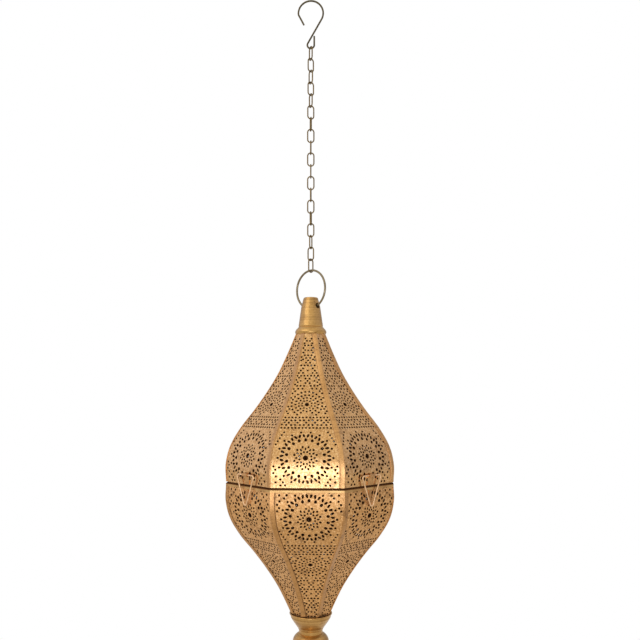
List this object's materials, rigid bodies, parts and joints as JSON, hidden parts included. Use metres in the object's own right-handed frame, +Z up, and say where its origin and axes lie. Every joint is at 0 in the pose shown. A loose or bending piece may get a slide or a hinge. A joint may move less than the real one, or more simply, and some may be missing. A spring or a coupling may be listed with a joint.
{
  "type": "hanging lantern",
  "caption": "Eight-sided hanging candle lantern with pierced curved faces, wire clasps at the seam, turned cap and foot, bail ring, link chain and S-hook.",
  "frame": {"origin": "the hanging point: inside the top of the S-hook's large loop", "axes": "+Z up, +X to the viewer's right across the S-hook, -Y towards the viewer, square to the front face"},
  "size_m": [0.1876, 0.1876, 0.7831],
  "materials": {
    "pierced_sheet": "satin antique gold",
    "rib_strip": "satin antique gold",
    "turned_brass": "satin antique gold",
    "clasp_brass": "satin",
    "aged_brass_wire": "aged, dark",
    "inner_metal": "dull, dark"
  },
  "bodies": {
    "hook": {"s_hook": "aged_brass_wire"},
    "link_01": {"chain_link_01": "aged_brass_wire"},
    "link_02": {"chain_link_02": "aged_brass_wire"},
    "link_03": {"chain_link_03": "aged_brass_wire"},
    "link_04": {"chain_link_04": "aged_brass_wire"},
    "link_05": {"chain_link_05": "aged_brass_wire"},
    "link_06": {"chain_link_06": "aged_brass_wire"},
    "link_07": {"chain_link_07": "aged_brass_wire"},
    "link_08": {"chain_link_08": "aged_brass_wire"},
    "link_09": {"chain_link_09": "aged_brass_wire"},
    "link_10": {"chain_link_10": "aged_brass_wire"},
    "link_11": {"chain_link_11": "aged_brass_wire"},
    "link_12": {"chain_link_12": "aged_brass_wire"},
    "link_13": {"chain_link_13": "aged_brass_wire"},
    "link_14": {"chain_link_14": "aged_brass_wire"},
    "link_15": {"chain_link_15": "aged_brass_wire"},
    "link_16": {"chain_link_16": "aged_brass_wire"},
    "link_17": {"chain_link_17": "aged_brass_wire"},
    "link_18": {"chain_link_18": "aged_brass_wire"},
    "link_19": {"chain_link_19": "aged_brass_wire"},
    "bail": {"bail_ring": "aged_brass_wire"},
    "upper": {"cap": "turned_brass", "neck_collar": "turned_brass", "upper_panel_1": "pierced_sheet", "upper_panel_2": "pierced_sheet", "upper_panel_3": "pierced_sheet", "upper_panel_4": "pierced_sheet", "upper_panel_5": "pierced_sheet", "upper_panel_6": "pierced_sheet", "upper_panel_7": "pierced_sheet", "upper_panel_8": "pierced_sheet", "upper_ribs": "rib_strip", "upper_rim": "inner_metal", "clasp_tabs": "clasp_brass"},
    "clasp_1": {"clasp_loop_1": "clasp_brass"},
    "clasp_2": {"clasp_loop_2": "clasp_brass"},
    "clasp_3": {"clasp_loop_3": "clasp_brass"},
    "clasp_4": {"clasp_loop_4": "clasp_brass"},
    "lower": {"lower_panel_1": "pierced_sheet", "lower_panel_2": "pierced_sheet", "lower_panel_3": "pierced_sheet", "lower_panel_4": "pierced_sheet", "lower_panel_5": "pierced_sheet", "lower_panel_6": "pierced_sheet", "lower_panel_7": "pierced_sheet", "lower_panel_8": "pierced_sheet", "lower_ribs": "rib_strip", "lower_rim": "rib_strip", "latch_catches": "clasp_brass", "foot_cup": "turned_brass", "foot_bead": "turned_brass", "foot_tip": "turned_brass", "base_disc": "inner_metal", "spacer_sleeve": "inner_metal", "tie_rod": "inner_metal", "rod_nut": "inner_metal", "candle_pan": "turned_brass", "candle_cup": "turned_brass"}
  },
  "joints": [
    {"name": "link_01_swing", "type": "hinge", "parent": "hook", "child": "link_01", "pos_m": [0, 0, -0.0542], "axis": [1, 0, 0], "range_deg": [-35, 35]},
    {"name": "link_02_swing", "type": "hinge", "parent": "link_01", "child": "link_02", "pos_m": [0, 0, -0.06765], "axis": [-0.4707, 0.8823, 0], "range_deg": [-35, 35]},
    {"name": "link_03_swing", "type": "hinge", "parent": "link_02", "child": "link_03", "pos_m": [0, 0, -0.08135], "axis": [-0.809, -0.5878, 0], "range_deg": [-35, 35]},
    {"name": "link_04_swing", "type": "hinge", "parent": "link_03", "child": "link_04", "pos_m": [0, 0, -0.09505], "axis": [0.5621, -0.8271, 0], "range_deg": [-35, 35]},
    {"name": "link_05_swing", "type": "hinge", "parent": "link_04", "child": "link_05", "pos_m": [0, 0, -0.10875], "axis": [0.8443, 0.5358, 0], "range_deg": [-35, 35]},
    {"name": "link_06_swing", "type": "hinge", "parent": "link_05", "child": "link_06", "pos_m": [0, 0, -0.12245], "axis": [-0.4707, 0.8823, 0], "range_deg": [-35, 35]},
    {"name": "link_07_swing", "type": "hinge", "parent": "link_06", "child": "link_07", "pos_m": [0, 0, -0.13615], "axis": [-0.9387, -0.3446, 0], "range_deg": [-35, 35]},
    {"name": "link_08_swing", "type": "hinge", "parent": "link_07", "child": "link_08", "pos_m": [0, 0, -0.14985], "axis": [0.2059, -0.9786, 0], "range_deg": [-35, 35]},
    {"name": "link_09_swing", "type": "hinge", "parent": "link_08", "child": "link_09", "pos_m": [0, 0, -0.16355], "axis": [0.9929, 0.1191, 0], "range_deg": [-35, 35]},
    {"name": "link_10_swing", "type": "hinge", "parent": "link_09", "child": "link_10", "pos_m": [0, 0, -0.17725], "axis": [-0.0879, 0.9961, 0], "range_deg": [-35, 35]},
    {"name": "link_11_swing", "type": "hinge", "parent": "link_10", "child": "link_11", "pos_m": [0, 0, -0.19095], "axis": [-0.9987, -0.0502, 0], "range_deg": [-35, 35]},
    {"name": "link_12_swing", "type": "hinge", "parent": "link_11", "child": "link_12", "pos_m": [0, 0, -0.20465], "axis": [0.0251, -0.9997, 0], "range_deg": [-35, 35]},
    {"name": "link_13_swing", "type": "hinge", "parent": "link_12", "child": "link_13", "pos_m": [0, 0, -0.21835], "axis": [1, 0, 0], "range_deg": [-35, 35]},
    {"name": "link_14_swing", "type": "hinge", "parent": "link_13", "child": "link_14", "pos_m": [0, 0, -0.23205], "axis": [0.0349, 0.9994, 0], "range_deg": [-35, 35]},
    {"name": "link_15_swing", "type": "hinge", "parent": "link_14", "child": "link_15", "pos_m": [0, 0, -0.24575], "axis": [-0.9971, 0.0767, 0], "range_deg": [-35, 35]},
    {"name": "link_16_swing", "type": "hinge", "parent": "link_15", "child": "link_16", "pos_m": [0, 0, -0.25945], "axis": [-0.1392, -0.9903, 0], "range_deg": [-35, 35]},
    {"name": "link_17_swing", "type": "hinge", "parent": "link_16", "child": "link_17", "pos_m": [0, 0, -0.27315], "axis": [0.9781, -0.2079, 0], "range_deg": [-35, 35]},
    {"name": "link_18_swing", "type": "hinge", "parent": "link_17", "child": "link_18", "pos_m": [0, 0, -0.28685], "axis": [0.309, 0.9511, 0], "range_deg": [-35, 35]},
    {"name": "link_19_swing", "type": "hinge", "parent": "link_18", "child": "link_19", "pos_m": [0, 0, -0.30055], "axis": [-0.8894, 0.4571, 0], "range_deg": [-35, 35]},
    {"name": "bail_swing", "type": "hinge", "parent": "link_19", "child": "bail", "pos_m": [0, 0, -0.31425], "axis": [-0.6428, -0.766, 0], "range_deg": [-35, 35]},
    {"name": "lantern_swing", "type": "hinge", "parent": "bail", "child": "upper", "pos_m": [0, 0, -0.35374], "axis": [0.766, -0.6428, 0], "range_deg": [-75, 75]},
    {"name": "clasp_1_swing", "type": "hinge", "parent": "upper", "child": "clasp_1", "pos_m": [0.06744, -0.06744, -0.54249], "axis": [-0.7071, -0.7071, 0], "range_deg": [-2.5, 110]},
    {"name": "clasp_2_swing", "type": "hinge", "parent": "upper", "child": "clasp_2", "pos_m": [0.06744, 0.06744, -0.54249], "axis": [0.7071, -0.7071, 0], "range_deg": [-2.5, 110]},
    {"name": "clasp_3_swing", "type": "hinge", "parent": "upper", "child": "clasp_3", "pos_m": [-0.06744, 0.06744, -0.54249], "axis": [0.7071, 0.7071, 0], "range_deg": [-2.5, 110]},
    {"name": "clasp_4_swing", "type": "hinge", "parent": "upper", "child": "clasp_4", "pos_m": [-0.06744, -0.06744, -0.54249], "axis": [-0.7071, 0.7071, 0], "range_deg": [-2.5, 110]},
    {"name": "lower_slide", "type": "slide", "parent": "upper", "child": "lower", "axis": [0, 0, -1], "range_m": [0, 0.13]}
  ]
}
